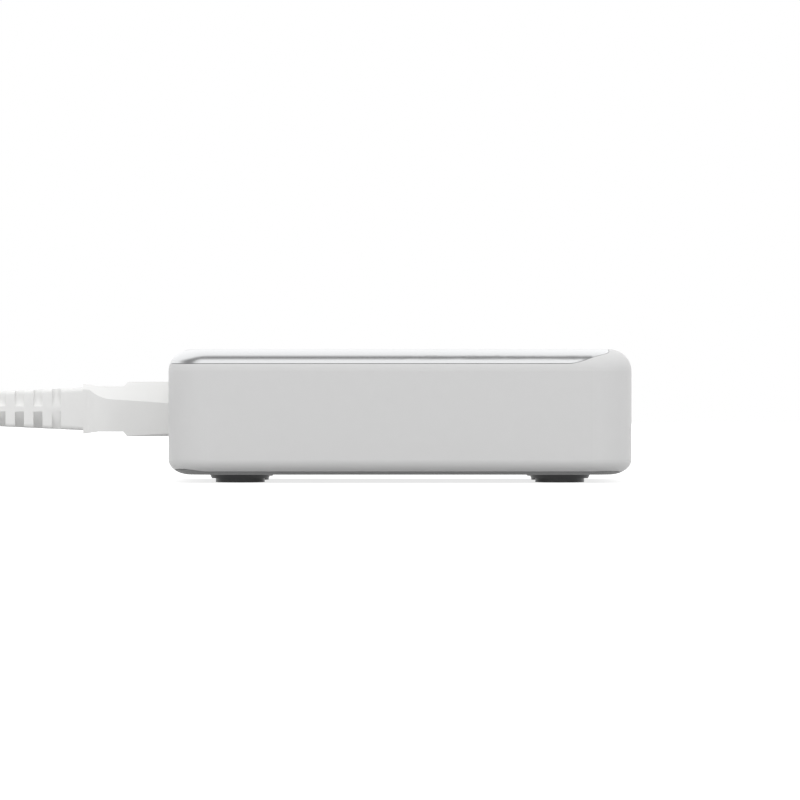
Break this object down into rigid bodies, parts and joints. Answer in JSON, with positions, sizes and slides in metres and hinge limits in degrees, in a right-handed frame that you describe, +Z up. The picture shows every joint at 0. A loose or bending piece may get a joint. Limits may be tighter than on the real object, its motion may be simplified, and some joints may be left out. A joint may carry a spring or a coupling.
{
  "type": "usb desktop charger",
  "caption": "Low rectangular USB desktop charger with upright ports across its front, polished inset covers, stepped rubber feet and a plugged-in, coiled mains lead.",
  "frame": {"origin": "centre of the charger's footprint at the level of its feet, without the mains lead", "axes": "+X towards the USB ports, +Z up, +Y across; the picture looks along +Y"},
  "size_m": [0.3237, 0.0918, 0.036],
  "materials": {
    "housing_grey": "fine satin moulding",
    "cover_polished": "polished",
    "base_grey": "fine grained moulding",
    "rubber_black": "moulded",
    "screw_steel": "zinc plated",
    "sheet_amber": "thin sheet",
    "board_green": "solder mask",
    "shell_steel": "drawn, nickel plated",
    "insulator_black": "moulded",
    "contact_gold": "gold plated",
    "inlet_white": "moulded",
    "pin_nickel": "nickel plated",
    "package_black": "moulded",
    "ferrite": "sintered",
    "bobbin_black": "moulded",
    "winding_copper": "enamelled wire",
    "heatsink_aluminium": "rolled sheet",
    "film_yellow": "epoxy filled box",
    "fuse_brown": "moulded",
    "can_aluminium": "sleeved can",
    "safety_blue": "dipped",
    "lead_white": "moulded flexible PVC",
    "tie_black": "hook and loop tape"
  },
  "bodies": {
    "root": {"bottom_cover": "base_grey", "bridge_rectifier": "package_black", "bulk_capacitor_1": "can_aluminium", "bulk_capacitor_2": "can_aluminium", "bulk_capacitor_3": "can_aluminium", "choke_core": "ferrite", "choke_windings": "winding_copper", "cord_tie": "tie_black", "cover_screws": "screw_steel", "film_capacitor": "film_yellow", "foot_1": "rubber_black", "foot_2": "rubber_black", "foot_3": "rubber_black", "foot_4": "rubber_black", "fuse": "fuse_brown", "inductor_bobbin": "bobbin_black", "inductor_core": "ferrite", "inductor_winding": "winding_copper", "inlet_body": "inlet_white", "inlet_pin_earth": "pin_nickel", "inlet_pin_line": "pin_nickel", "inlet_pin_neutral": "pin_nickel", "insulating_sheet": "sheet_amber", "lead_coil": "lead_white", "lead_connector": "lead_white", "lead_contact_earth": "contact_gold", "lead_contact_line": "contact_gold", "lead_contact_neutral": "contact_gold", "lead_cord": "lead_white", "lead_tail": "lead_white", "main_board": "board_green", "main_housing": "housing_grey", "mains_plug": "lead_white", "mains_switch_1": "package_black", "mains_switch_2": "package_black", "output_capacitor_1": "can_aluminium", "output_capacitor_2": "can_aluminium", "output_capacitor_3": "can_aluminium", "plug_blade_line": "pin_nickel", "plug_blade_neutral": "pin_nickel", "plug_earth_pin": "pin_nickel", "port_board": "board_green", "rectifier_heatsink": "heatsink_aluminium", "safety_capacitor": "safety_blue", "switch_heatsink": "heatsink_aluminium", "top_cover": "cover_polished", "transformer_bobbin": "bobbin_black", "transformer_core": "ferrite", "transformer_winding": "winding_copper", "usb_a_contacts": "contact_gold", "usb_a_shell": "shell_steel", "usb_a_tongue": "insulator_black", "usb_c_shell_1": "shell_steel", "usb_c_shell_2": "shell_steel", "usb_c_shell_3": "shell_steel", "usb_c_tongue_1": "insulator_black", "usb_c_tongue_2": "insulator_black", "usb_c_tongue_3": "insulator_black"}
  },
  "joints": []
}
